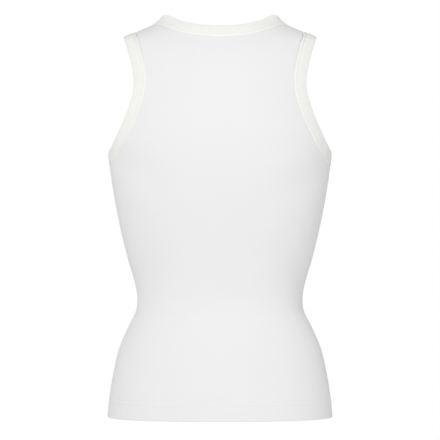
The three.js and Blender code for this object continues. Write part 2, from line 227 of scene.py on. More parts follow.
# Finer drag lines, each a shallow trough or ridge: from the underarms, at the waist and above the hem
CREASES = (
    # angle, z, lean, length, width, depth
    Hollow(24, -224, -38, 26, 6, 0.45),
    Hollow(31, -236, -32, 34, 7, -0.35),
    Hollow(157, -228, 41, 30, 6, 0.5),
    Hollow(150, -243, 34, 24, 7, -0.35),
    Hollow(17, -368, 12, 30, 6, 0.5),
    Hollow(25, -386, 6, 38, 7, -0.4),
    Hollow(12, -402, -10, 26, 6, 0.45),
    Hollow(164, -362, -14, 34, 6, 0.5),
    Hollow(157, -379, -8, 28, 7, -0.4),
    Hollow(168, -396, 9, 32, 6, 0.5),
    Hollow(112, -420, -44, 40, 8, 0.35),
    Hollow(66, -412, 38, 30, 8, 0.3),
    Hollow(-22, -214, 33, 30, 7, 0.5),
    Hollow(-33, -228, 25, 24, 6, -0.35),
    Hollow(-155, -219, -36, 34, 7, 0.5),
    Hollow(-150, -236, -27, 26, 6, -0.35),
    Hollow(-20, -376, -9, 36, 6, 0.5),
    Hollow(-28, -392, -4, 28, 7, -0.4),
    Hollow(-160, -370, 12, 30, 6, 0.5),
    Hollow(-152, -389, 5, 36, 7, -0.4),
    Hollow(-102, -330, 24, 44, 9, 0.35),
    Hollow(-70, -436, -30, 38, 9, 0.3),
)


@dataclass(frozen=True)
class GarmentForm:
    """The garment's outside surface. A place on it is a pair, angle and z.

    The angle runs round the body in radians, 0 at the wearer's left side and a quarter turn at centre back.
    """

    sections: tuple[Section, ...] = SECTIONS
    hollows: tuple[Hollow, ...] = HOLLOWS + CREASES
    body_radius: float = 115  # turns an angle into a distance round the body
    small_turn: float = 0.002  # for slopes round the body
    small_rise: float = 0.25  # for slopes up the body

    @cached_property
    def levels(self) -> Callable[[Array], Array]:
        """A function from z to the section's sizes there."""
        columns = [[s.half, s.back, s.front, s.side, s.round_back, s.round_front] for s in self.sections]
        return spline_through([s.z for s in self.sections], np.array(columns))

    def smooth(self, places: Array) -> Array:
        """Return the points at the places, without hollows."""
        angle, z = places[..., 0], places[..., 1]
        half, back, front, side, round_back, round_front = np.moveaxis(self.levels(z), -1, 0)
        across, along = np.cos(angle), np.sin(angle)
        power = np.where(along >= 0, round_back, round_front)
        reach = (np.abs(across) ** power + np.abs(along) ** power) ** (-1 / power)
        depth = np.where(along >= 0, back - side, side - front)
        return np.stack([half * across * reach, side + depth * along * reach, z], -1)

    def slopes(self, point_at: Callable[[Array], Array], places: Array) -> tuple[Array, Array]:
        """Return how the points move round and up the body, for each radian and millimetre."""
        turn = np.array([self.small_turn, 0])
        rise = np.array([0, self.small_rise])
        around = (point_at(places + turn) - point_at(places - turn)) / (2 * self.small_turn)
        up = (point_at(places + rise) - point_at(places - rise)) / (2 * self.small_rise)
        return around, up

    def normals(self, point_at: Callable[[Array], Array], places: Array) -> Array:
        """Return the outward normals at the places."""
        return unit(np.cross(*self.slopes(point_at, places)))

    def sink(self, places: Array) -> Array:
        """Return how far the hollows lie below the smooth surface."""
        total = np.zeros(places.shape[:-1])
        for hollow in self.hollows:
            turned = places[..., 0] - math.radians(hollow.angle)
            around = np.arctan2(np.sin(turned), np.cos(turned)) * self.body_radius
            up = places[..., 1] - hollow.z
            lean = math.radians(hollow.lean)
            along = (around * math.cos(lean) + up * math.sin(lean)) / hollow.length
            across = (up * math.cos(lean) - around * math.sin(lean)) / hollow.width
            total += hollow.depth * np.exp(-along * along - across * across)
        return total

    def surface(self, places: Array) -> Array:
        """Return the points on the surface at the places."""
        return self.smooth(places) - self.normals(self.smooth, places) * self.sink(places)[..., None]

    def raised(self, places: Array, height: Array | float) -> Array:
        """Return points at a height above the surface, which is below it where the height is negative."""
        heights = np.broadcast_to(np.asarray(height, float), places.shape[:-1])
        return self.surface(places) + self.normals(self.surface, places) * heights[..., None]

    def angle_for_width(self, half: float, z: float, facing: Side) -> float:
        """Find the angle where the surface has a half-width, on the back or the front."""
        low, high = 0.0, math.pi / 2
        for _ in range(HALVINGS):
            middle = (low + high) / 2
            if self.smooth(np.array([facing.value * middle, z]))[0] > half:
                low = middle
            else:
                high = middle
        return facing.value * (low + high) / 2

    def even_loop(self, places: Array, turns: float, stops: Sequence[tuple[int, int, int]]) -> Array:
        """Run a closed smooth curve through places, in steps of equal length between stops.

        Args:
            places: the places that the curve passes, one row each.
            turns: the angle by which the curve's end passes its start.
            stops: first and last place and number of coarse steps, for each stretch.

        Returns:
            The places at the fine steps, one row each.
        """
        closed = np.vstack([places, places[0] + (turns, 0)])
        flat = closed * (self.body_radius, 1)
        far = run_along(flat)
        curve = spline_through(far, flat, closed=True)
        if turns:
            curve = self.turning_curve(far, flat, turns)
        loop = []
        for first, last, steps in stops:
            fine = curve(np.linspace(far[first], far[last], LOOP_SAMPLES * steps + 1)) / (self.body_radius, 1)
            run = run_along(self.smooth(fine))
            wanted = np.arange(steps * LOOP_DENSITY) * run[-1] / (steps * LOOP_DENSITY)
            loop.append(np.stack([np.interp(wanted, run, fine[:, k]) for k in (0, 1)], -1))
        return np.concatenate(loop)

    def turning_curve(self, far: Array, flat: Array, turns: float) -> Callable[[Array], Array]:
        """Return the closed curve through flat places that pass their start by a whole turn."""
        drift = turns * self.body_radius / far[-1]
        level = flat - np.stack([drift * far, np.zeros_like(far)], -1)
        around = spline_through(far, level, closed=True)
        return lambda at: around(at) + np.stack([drift * at, np.zeros_like(at)], -1)

    def walk_off(self, loop: Array, distances: Sequence[float]) -> list[Array]:
        """Walk over the surface from each place of a loop, square to it.

        Args:
            loop: the loop's places.
            distances: how far to walk, rising.

        Returns:
            The places reached, as one loop for each distance.
        """
        spots = self.smooth(loop)
        arriving = unit(spots - np.roll(spots, 1, axis=0))
        heading = unit(np.cross(arriving + np.roll(arriving, -1, axis=0), self.normals(self.smooth, loop)))
        for _ in range(EVENING_PASSES):
            heading = heading / 2 + (np.roll(heading, 1, axis=0) + np.roll(heading, -1, axis=0)) / 4
        places = loop.copy()
        gone = 0.0
        reached = []
        for distance in distances:
            steps = max(1, math.ceil((distance - gone) / WALK_STEP))
            stride = (distance - gone) / steps
            for _ in range(steps):
                around, up = self.slopes(self.smooth, places)
                normal = unit(np.cross(around, up))
                heading = unit(heading - normal * np.sum(heading * normal, -1, keepdims=True))
                rr, ru, uu = (np.sum(a * b, -1) for a, b in ((around, around), (around, up), (up, up)))
                hr, hu = (stride * np.sum(heading * a, -1) for a in (around, up))
                move = np.stack([hr * uu - hu * ru, hu * rr - hr * ru], -1)
                places = places + move / (rr * uu - ru * ru)[:, None]
            gone = distance
            reached.append(places)
        return reached


@dataclass(frozen=True)
class ArmholeCut:
    """The fold of the armhole's binding, and the seam below it.

    widths holds z, and half of the width left between the armholes on the back and on the front.
    """

    form: GarmentForm
    band_width: float = 19.5
    top: float = -16.5
    bottom: float = -177
    half_steps: int = 22
    widths: tuple[tuple[float, float, float], ...] = (
        # z, back, front
        (-168, 150.4, 150.0),
        (-156, 143.9, 141.5),
        (-138, 135.3, 130.5),
        (-112, 125.5, 119.0),
        (-82, 119.4, 114.0),
        (-56, 123.0, 117.0),
        (-36, 128.4, 123.0),
        (-23, 133.2, 130.5),
    )

    @cached_property
    def fold(self) -> Array:
        """The loop of the fold: it starts under the arm and rises over the back."""
        back = [(self.form.angle_for_width(w, z, Side.BACK), z) for z, w, _ in self.widths]
        front = [(self.form.angle_for_width(w, z, Side.FRONT), z) for z, _, w in self.widths]
        places = np.array([(0, self.bottom), *back, (0, self.top), *front[::-1]], float)
        top = len(back) + 1
        stops = [(0, top, self.half_steps), (top, len(places), self.half_steps)]
        return self.form.even_loop(places, 0, stops)

    @cached_property
    def seam(self) -> Array:
        """The loop of the seam between binding and panels, on the panels' side."""
        return self.form.walk_off(self.fold, [self.band_width - SEAM_LAP])[0]


@dataclass(frozen=True)
class NeckCut:
    """The fold of the neckband, and the seam below it. The width tables hold z and half of the opening."""

    form: GarmentForm
    band_width: float = 18.5
    side_height: float = 13.2
    back_height: float = -2.2
    front_height: float = -72
    back_half_steps: int = 10
    front_half_steps: int = 17
    back_widths: tuple[tuple[float, float], ...] = (
        (12.2, 68.5),
        (8.6, 61.5),
        (4.6, 51.5),
        (1.2, 38.5),
        (-1.2, 20),
    )
    front_widths: tuple[tuple[float, float], ...] = (
        (7, 78.2),
        (-2, 75.2),
        (-15, 70.8),
        (-30, 64.2),
        (-46, 54),
        (-59, 40.5),
        (-68, 22),
    )

    @cached_property
    def fold(self) -> Array:
        """The loop of the fold: it starts over the left shoulder and runs round the back."""
        back = [(self.form.angle_for_width(w, z, Side.BACK), z) for z, w in self.back_widths]
        front = [(self.form.angle_for_width(w, z, Side.FRONT), z) for z, w in self.front_widths]
        right_back = [(math.pi - angle, z) for angle, z in back[::-1]]
        right_front = [(math.pi - angle, z) for angle, z in front]
        left_front = [(angle + 2 * math.pi, z) for angle, z in front[::-1]]
        places = np.array(
            [
                (0, self.side_height),
                *back,
                (math.pi / 2, self.back_height),
                *right_back,
                (math.pi, self.side_height),
                *right_front,
                (1.5 * math.pi, self.front_height),
                *left_front,
            ]
        )
        half = 2 * (len(back) + 1)
        stops = [(0, half, 2 * self.back_half_steps), (half, len(places), 2 * self.front_half_steps)]
        return self.form.even_loop(places, 2 * math.pi, stops)

    @cached_property
    def seam(self) -> Array:
        """The loop of the seam between neckband and panels, on the panels' side."""
        return self.form.walk_off(self.fold, [self.band_width - SEAM_LAP])[0]


@dataclass
class MeshParts:
    """Points in millimetres, with faces of three or four corners and the cloth's grain at each corner.

    The grain is a place on the flat cloth in millimetres: across the wales and along them.
    """

    points: Array
    faces: Array
    grain: Array

    @staticmethod
    def joined(parts: Sequence["MeshParts"]) -> "MeshParts":
        """Return several parts as one."""
        starts = np.cumsum([0] + [len(part.points) for part in parts[:-1]])
        return MeshParts(
            np.concatenate([part.points for part in parts]),
            np.concatenate([part.faces + start for part, start in zip(parts, starts)]),
            np.concatenate([part.grain for part in parts]),
        )

    def as_object(self, name: str, material: bpy.types.Material) -> bpy.types.Object:
        """Make the parts into an object in the scene."""
        mesh = bpy.data.meshes.new(name)
        mesh.from_pydata((self.points * METRES).tolist(), [], self.faces.tolist())
        layer = mesh.uv_layers.new(name=GRAIN_LAYER)
        layer.data.foreach_set("uv", self.grain.reshape(-1))
        mesh.polygons.foreach_set("use_smooth", [True] * len(mesh.polygons))
        mesh.materials.append(material)
        mesh.update()
        return add_object(name, mesh)


GRAIN_LAYER = "grain"
CLOSE_STEPS = (0.03, 0.07, 0.12)  # shares of a step, of the positions beside an edge


def shell(outer: Array, inner: Array, grain: Array) -> MeshParts:
    """Close two grids of points, with the same gaps, into a shell.

    Args:
        outer: rows and columns of points, not a number where there is none.
        inner: the same on the inside.
        grain: the place on the flat cloth at each point.

    Returns:
        The closed shell.
    """
    there = ~np.isnan(outer[..., 0])
    numbers = np.full(there.shape, -1)
    numbers[there] = np.arange(there.sum())
    corners = [numbers[:-1, :-1], numbers[:-1, 1:], numbers[1:, 1:], numbers[1:, :-1]]
    cells = np.stack(corners, -1).reshape(-1, 4)
    cells = cells[(cells >= 0).all(1)]
    edges = np.stack([cells, np.roll(cells, -1, axis=1)], -1).reshape(-1, 2)
    keys = edges[:, 0] * there.sum() + edges[:, 1]
    back_keys = edges[:, 1] * there.sum() + edges[:, 0]
    rim = edges[~np.isin(keys, back_keys)]
    count = int(there.sum())
    walls = np.stack([rim[:, 1], rim[:, 0], rim[:, 0] + count, rim[:, 1] + count], -1)
    faces = np.concatenate([cells, cells[:, ::-1] + count, walls])
    places = np.concatenate([grain[there]] * 2)
    return MeshParts(np.concatenate([outer[there], inner[there]]), faces, places[faces].reshape(-1, 2))


def ring(sections: Array, around: Array, along: float) -> MeshParts:
    """Join closed sections into a ring.

    Args:
        sections: a closed loop of points for each section, the ring's last section beside its first.
        around: the grain's place round each section, with one more value for its end.
        along: the grain's length along the ring.

    Returns:
        The ring.
    """
    count, size = sections.shape[:2]
    row, spot = np.meshgrid(np.arange(count), np.arange(size), indexing="ij")
    corners = [(row, spot), (row, spot + 1), (row + 1, spot + 1), (row + 1, spot)]
    faces = np.stack([(r % count) * size + s % size for r, s in corners], -1).reshape(-1, 4)
    grain = np.stack([np.stack([r * along / count, around[s]], -1) for r, s in corners], -2).reshape(-1, 2)
    return MeshParts(sections.reshape(-1, 3), faces, grain)


def rods(paths: Array, normals: Array, wide: Array, thick: Array, sides: int = 6) -> MeshParts:
    """Lay a flattened rod along each path, closed at both ends by a point.

    Args:
        paths: for each rod, its points.
        normals: the directions away from the cloth, at the same points.
        wide: half of the rod's width at each of its points.
        thick: half of its thickness there.
        sides: corners of its section.

    Returns:
        All the rods.
    """
    ahead = unit(np.gradient(paths, axis=1))
    beside = unit(np.cross(normals, ahead))
    turn = np.arange(sides) * 2 * np.pi / sides
    out = beside[:, :, None] * np.cos(turn)[:, None] * wide[:, None, None]
    lift = normals[:, :, None] * np.sin(turn)[:, None] * thick[:, None, None]
    points = paths[:, :, None] + out + lift
    number, length = paths.shape[:2]
    rod, row, spot = np.meshgrid(np.arange(number), np.arange(length - 1), np.arange(sides), indexing="ij")
    corners = [(row, spot), (row, (spot + 1) % sides), (row + 1, (spot + 1) % sides), (row + 1, spot)]
    faces = np.stack([(rod * length + r) * sides + s for r, s in corners], -1).reshape(-1, 4)
    grain = np.zeros((len(faces) * 4, 2))
    return MeshParts(points.reshape(-1, 3), faces, grain)


def spread(count: int, per_step: int, tight: Sequence[int] = ()) -> Array:
    """Return positions along a number of steps, with closer ones beside the tight stops."""
    even = np.arange(count * per_step + 1) / per_step
    close = [stop + way * near for stop in tight for way in (-1, 1) for near in CLOSE_STEPS]
    return np.unique(np.round(np.clip(np.concatenate([even, close]), 0, count), 4))


def nearness(steps_away: Array) -> Array:
    """Return 1 at an edge, and less with the coarse steps from it, down to 0 one step away."""
    return np.clip(1 - steps_away, 0, 1)[..., None] ** 2


@dataclass(frozen=True)
class SeamPull:
    """How deep a seam draws the cloth in beside it: more over the shoulders, most at the armholes there."""

    low: float = 0.25
    neck: float = 0.3
    armhole: float = 2.5
    shoulder: float = -36  # z where it changes
    blend: float = 10
    parting: float = 102  # distance from the middle, between neck and armholes
    parting_blend: float = 2.5

    def depth(self, points: Array) -> Array:
        """Return the depth at points of the garment."""
        outward = soft_step((np.abs(points[..., 0]) - self.parting) / self.parting_blend)
        high = self.neck + (self.armhole - self.neck) * outward
        return self.low + (high - self.low) * soft_step((points[..., 2] - self.shoulder) / self.blend)


@dataclass(frozen=True)
class Hem:
    """The panels' own edge, turned up inside and sewn with two needles."""

    height: float = -547
    depth: float = 28
    needle_rows: tuple[float, float] = (20.5, 27.0)  # above the edge
    fold_rows: tuple[float, ...] = (0, 0.04, 0.14, 0.3, 0.52, 0.8, 1.1)  # points round the fold
    plain_rows: tuple[float, float] = (2.4, 1.6)  # first row of points above the fold, and from row to row
    sewn_rows: tuple[float, float] = (18.7, 0.62)  # the same where it is sewn
    proud: float = 0.2  # how far two layers stand out beyond one
    inside: float = 0.75  # how far they stand in
    edge_round: float = 1.1  # over which the fold rounds
    edge_closing: float = 0.95  # how far it moves each face in
    step_below: float = 1.2  # from the hem's top down to the middle of the step in thickness
    step_blend: float = 0.9  # over which the step is spread
    furrow_depth: float = 0.08
    furrow_width: float = 1.0

    @property
    def top(self) -> float:
        """Where the turned-up layer ends."""
        return self.height + self.depth

    def rows(self) -> Array:
        """Return the heights of the rows of points from the edge to just below the hem's top."""
        sewn_from, sewn_pitch = self.sewn_rows
        plain_from, plain_pitch = self.plain_rows
        plain = np.arange(plain_from, sewn_from, plain_pitch)
        sewn = np.arange(sewn_from, self.depth - sewn_pitch / 2, sewn_pitch)
        return self.height + np.concatenate([self.fold_rows, plain, sewn])

    def swell(self, z: Array) -> Array:
        """Return how much of the doubled thickness there is, from 1 in the hem to 0 above it."""
        return soft_step((self.top - self.step_below - z) / self.step_blend)

    def closing(self, z: Array) -> Array:
        """Return how far the fold moves each face in, most at the very edge."""
        share = np.clip(1 - (z - self.height) / self.edge_round, 0, 1)
        return self.edge_closing * (1 - np.sqrt(1 - share**2))

    def outer(self, z: Array) -> Array:
        """Return the outer face's height off the surface."""
        furrows = sum(bump_of(z - self.height - row, self.furrow_width) for row in self.needle_rows)
        return self.proud * self.swell(z) - self.furrow_depth * furrows - self.closing(z)

    def inner(self, z: Array) -> Array:
        """Return the inner face's height off the surface, without the cloth's own thickness."""
        return self.closing(z) - self.inside * self.swell(z)

    def thread_heights(self, points: Array) -> Array:
        """Return how high the stitches lie at points of the garment."""
        return self.outer(points[..., 2]) + STITCH_LIFT


@dataclass(frozen=True)
class Panel:
    """The back or the front: one piece of jersey from the hem to the shoulders."""

    side: Side
    form: GarmentForm
    armhole: ArmholeCut
    neck: NeckCut
    hem: Hem
    thickness: float = 0.9
    pull: SeamPull = SeamPull()
    seam_reach: float = 1.6  # over which a seam draws the cloth in
    puff: float = 0.12  # how far the cloth swells just beyond that
    puff_at: float = 3.2
    puff_width: float = 1.6
    side_rows: int = 14
    shoulder_columns: int = 4
    strap_rows: int = 0  # rows beside the neck, which notches the panel
    relax_passes: int = 300
    rows_per_step: int = 9
    armhole_rows_per_step: int = 5
    columns_per_step: int = 5

    @property
    def neck_steps(self) -> int:
        """The coarse steps from the shoulder to the middle of the neck seam."""
        return self.neck.back_half_steps if self.side is Side.BACK else self.neck.front_half_steps

    @property
    def half_columns(self) -> int:
        """The coarse columns from the side to the middle."""
        return self.shoulder_columns + self.neck_steps - self.strap_rows

    @property
    def last_row(self) -> int:
        """The coarse row of the shoulder seam, counted from the hem's top."""
        return self.side_rows + self.armhole.half_steps

    @property
    def notch_row(self) -> int:
        """The coarse row at the bottom of the neck."""
        return self.last_row - self.strap_rows

    def cleared(self, places: Array) -> Array:
        """Move places from the middle of a seam to where the panel ends, past it."""
        around, _ = self.form.slopes(self.form.smooth, places * (self.side.value, 1))
        shift = SEAM_LAP / 2 / np.linalg.norm(around, axis=-1)
        return places - np.stack([shift, np.zeros_like(shift)], -1)

    def seam_places(self, seam: Array, steps: int) -> Array:
        """Return a seam's places along one half of the panel, in angles counted from its left side."""
        found = seam[(self.side.value * np.arange(steps * LOOP_DENSITY + 1)) % len(seam)]
        found = found * (self.side.value, 1)
        found[found[:, 0] < -1, 0] += 2 * math.pi
        return found

    @cached_property
    def armhole_edge(self) -> Array:
        """The left edge from the underarm to the shoulder."""
        places = self.seam_places(self.armhole.seam, self.armhole.half_steps)
        ends = [0, -1]
        places[ends] = self.cleared(places[ends])
        return places

    @cached_property
    def neck_edge(self) -> Array:
        """The neck from the left shoulder to the middle."""
        places = self.seam_places(self.neck.seam, self.neck_steps)
        places[0] = self.cleared(places[0])
        return places

    def side_edge(self, heights: Array) -> Array:
        """Return the left edge below the armhole."""
        under = self.seam_places(self.armhole.seam, 0)[0]
        share = (heights - self.hem.height) / (under[1] - self.hem.height)
        return self.cleared(np.stack([under[0] * share, heights], -1))

    def left_edge(self, rows: Array) -> Array:
        """Return the left edge's places at coarse rows and between them."""
        rise = self.armhole_edge[0, 1] - self.hem.top
        low = self.side_edge(self.hem.top + rise * rows / self.side_rows)
        high = self.along(self.armhole_edge, rows - self.side_rows)
        return np.where((rows < self.side_rows)[:, None], low, high)

    def shoulder_line(self, columns: Array) -> Array:
        """Return the shoulder seam's places at coarse columns and between them."""
        left, right = self.armhole_edge[-1], self.neck_edge[0]
        return left + (right - left) * columns[:, None] / self.shoulder_columns

    def coarse_grid(self) -> Array:
        """Lay out rows and columns of places from the hem's top to the shoulders, evened over the surface."""
        left = self.left_edge(np.arange(self.last_row + 1))
        neck = self.neck_edge[::LOOP_DENSITY]
        columns = 2 * self.half_columns + 1
        grid = np.full((self.last_row + 1, columns, 2), np.nan)
        for row in range(self.last_row + 1):
            for column in range(self.half_columns + 1):
                grid[row, column] = self.first_place(left, neck, row, column)
        grid[:, self.half_columns + 1 :] = mirrored(grid[:, self.half_columns - 1 :: -1])
        self.relax(grid)
        return grid

    def first_place(self, left: Array, neck: Array, row: int, column: int) -> Array | float:
        """Return where a place of the left half starts, before the grid is evened."""
        if row < self.notch_row:
            share = column / self.half_columns
            rise = row / self.notch_row
            middle = self.hem.top + (neck[-1, 1] - self.hem.top) * rise
            angle = left[row, 0] + (math.pi / 2 - left[row, 0]) * share
            return np.array([angle, middle + (left[row, 1] - middle) * (1 - share) ** 2])
        step = self.last_row - row
        if column <= self.shoulder_columns:
            return left[row] + (neck[step] - left[row]) * column / self.shoulder_columns
        return neck[step + column - self.shoulder_columns] if row == self.notch_row else np.nan

    def relax(self, grid: Array) -> None:
        """Move the inner places to where the grid's stretch and shear over the surface balance."""
        there = ~np.isnan(grid[..., 0])
        free = np.zeros_like(there)
        rows, columns = there.shape
        nearby = [there[j : rows - 2 + j, i : columns - 2 + i] for j in range(3) for i in range(3)]
        free[1:-1, 1:-1] = np.logical_and.reduce(nearby)
        inner = free[1:-1, 1:-1, None]
        facing = (self.side.value, 1)
        for _ in range(self.relax_passes):
            points = self.form.smooth(np.nan_to_num(grid) * facing)
            over = points[1:-1, 2:] - points[1:-1, :-2]
            up = points[2:, 1:-1] - points[:-2, 1:-1]
            row_pull = np.sum(up * up, -1)[..., None]
            column_pull = np.sum(over * over, -1)[..., None]
            shear = np.sum(over * up, -1)[..., None]
            twist = grid[2:, 2:] - grid[2:, :-2] - grid[:-2, 2:] + grid[:-2, :-2]
            in_row = row_pull * (grid[1:-1, 2:] + grid[1:-1, :-2])
            in_column = column_pull * (grid[2:, 1:-1] + grid[:-2, 1:-1])
            wanted = (in_row + in_column - shear / 2 * twist) / (2 * (row_pull + column_pull))
            grid[1:-1, 1:-1] = np.where(inner, wanted, grid[1:-1, 1:-1])

    def fine_grid(self) -> Array:
        """Return rows and columns of places over the whole panel, with its edges exactly on the seams."""
        coarse = self.coarse_grid()
        steps = 2 * self.half_columns
        notch = [self.shoulder_columns, steps - self.shoulder_columns] if self.strap_rows else []
        columns = spread(steps, self.columns_per_step, [0, *notch, steps])
        low = spread(self.side_rows, self.rows_per_step)
        steps_up = self.armhole.half_steps
        high = spread(steps_up, self.armhole_rows_per_step, [steps_up, steps_up - self.strap_rows])
        rows = np.unique(np.concatenate([low, self.side_rows + high]))
        body_rows = rows[rows <= self.notch_row]
        strap_columns = columns[columns <= self.shoulder_columns]
        body = self.between(coarse[: self.notch_row + 1], body_rows, columns)
        body += (self.left_edge(body_rows) - body[:, 0])[:, None] * nearness(columns)
        grid = np.full((len(rows), len(columns), 2), np.nan)
        top = body[-1].copy()
        top[: len(strap_columns)] = self.shoulder_line(strap_columns)
        if self.strap_rows:
            strap = self.strap_grid(coarse, rows[rows >= self.notch_row], strap_columns)
            grid[len(body_rows) - 1 :, : len(strap_columns)] = strap
            top[: len(strap_columns)] = strap[0]
        on_neck = (columns >= self.shoulder_columns) & (columns <= self.half_columns)
        top[on_neck] = self.along(self.neck_edge, self.strap_rows + columns[on_neck] - self.shoulder_columns)
        body += (top - body[-1]) * nearness(self.notch_row - body_rows)[:, None]
        grid[: len(body_rows)] = body
        middle = len(columns) // 2
        grid[:, middle + 1 :] = mirrored(grid[:, middle - 1 :: -1])
        return np.concatenate([self.hem_rows(grid[0]), grid])

    def strap_grid(self, coarse: Array, rows: Array, columns: Array) -> Array:
        """Return the places at rows and columns of the strap left of the neck."""
        own = coarse[self.notch_row :, : self.shoulder_columns + 1]
        strap = self.between(own, rows - self.notch_row, columns)
        strap += (self.left_edge(rows) - strap[:, 0])[:, None] * nearness(columns)
        neck = self.along(self.neck_edge, self.last_row - rows)
        strap += (neck - strap[:, -1])[:, None] * nearness(self.shoulder_columns - columns)
        strap += (self.shoulder_line(columns) - strap[-1]) * nearness(self.last_row - rows)[:, None]
        return strap

    def between(self, coarse: Array, rows: Array, columns: Array) -> Array:
        """Interpolate a coarse grid at rows and columns."""
        by_row = spline_through(np.arange(len(coarse)), coarse)(rows)
        by_column = spline_through(np.arange(coarse.shape[1]), by_row.swapaxes(0, 1))(columns)
        return by_column.swapaxes(0, 1)

    def along(self, edge: Array, steps: Array) -> Array:
        """Return places along an edge, at coarse steps and between them."""
        fine = np.arange(len(edge)) / LOOP_DENSITY
        return np.stack([np.interp(steps, fine, edge[:, k]) for k in (0, 1)], -1)

    def hem_rows(self, top_row: Array) -> Array:
        """Return the rows of the hem, below a level row of places."""
        heights = self.hem.rows()
        left = self.side_edge(heights)[:, 0]
        top_left = top_row[0, 0]
        share = (top_row[:, 0] - math.pi / 2) / (top_left - math.pi / 2)
        angles = math.pi / 2 + (left[:, None] - math.pi / 2) * share
        return np.stack([angles, np.broadcast_to(heights[:, None], angles.shape)], -1)

    def edge_distance(self, points: Array, there: Array) -> Array:
        """Return each point's distance to the nearest seam, leaving the hem's edge out."""
        rim = there & ~np.pad(there, 1)[2:, 1:-1]
        rim |= there & ~(np.pad(there, 1)[1:-1, 2:] & np.pad(there, 1)[1:-1, :-2])
        row, column = np.nonzero(there)
        seam_points = points[rim]
        tree = KDTree(len(seam_points))
        for number, point in enumerate(seam_points):
            tree.insert(point, number)
        tree.balance()
        distance = np.full(there.shape, np.inf)
        distance[row, column] = [tree.find(point)[2] for point in points[row, column]]
        return distance

    def grain(self, points: Array, there: Array) -> Array:
        """Return each point's place on the flat cloth: across from the middle, and up.

        Across is measured level round the body. Beside the neck it carries on from the row below it.
        """
        middle = points.shape[1] // 2
        level = np.where(there[..., None], points[..., :2], np.nan)
        across = np.zeros(there.shape)
        across[:, 1:] = np.cumsum(np.nan_to_num(np.linalg.norm(np.diff(level, axis=1), axis=2)), axis=1)
        whole = there[:, middle]
        across[whole] -= across[whole, middle : middle + 1]
        bottom = np.flatnonzero(whole)[-1]
        inner = int(there[-1, :middle].sum()) - 1
        for edge, strap in ((inner, slice(0, inner + 1)), (-inner - 1, slice(-inner - 1, None))):
            wanted = across[bottom, edge] + level[bottom, edge, 0] - level[~whole, edge, 0]
            across[~whole, strap] += (wanted - across[~whole, edge])[:, None]
        return np.stack([across, points[..., 2]], -1)

    def parts(self) -> MeshParts:
        """Return the panel's shell."""
        places = self.fine_grid()
        there = ~np.isnan(places[..., 0])
        safe = np.where(there[..., None], places, 0) * (self.side.value, 1)
        points = self.form.surface(safe)
        distance = self.edge_distance(points, there)
        z = safe[..., 1]
        pull = self.pull.depth(points)
        puffed = self.puff * bump_of(distance - self.puff_at, self.puff_width)
        drawn = puffed - pull * bump_of(distance, self.seam_reach)
        outer = self.form.raised(safe, self.hem.outer(z) + drawn)
        inner = self.form.raised(safe, self.hem.inner(z) + drawn - self.thickness)
        gap = ~there
        outer[gap] = np.nan
        inner[gap] = np.nan
        grain = self.grain(points, there)
        if self.side is Side.FRONT:
            return shell(outer[:, ::-1], inner[:, ::-1], grain[:, ::-1])
        return shell(outer, inner, grain)


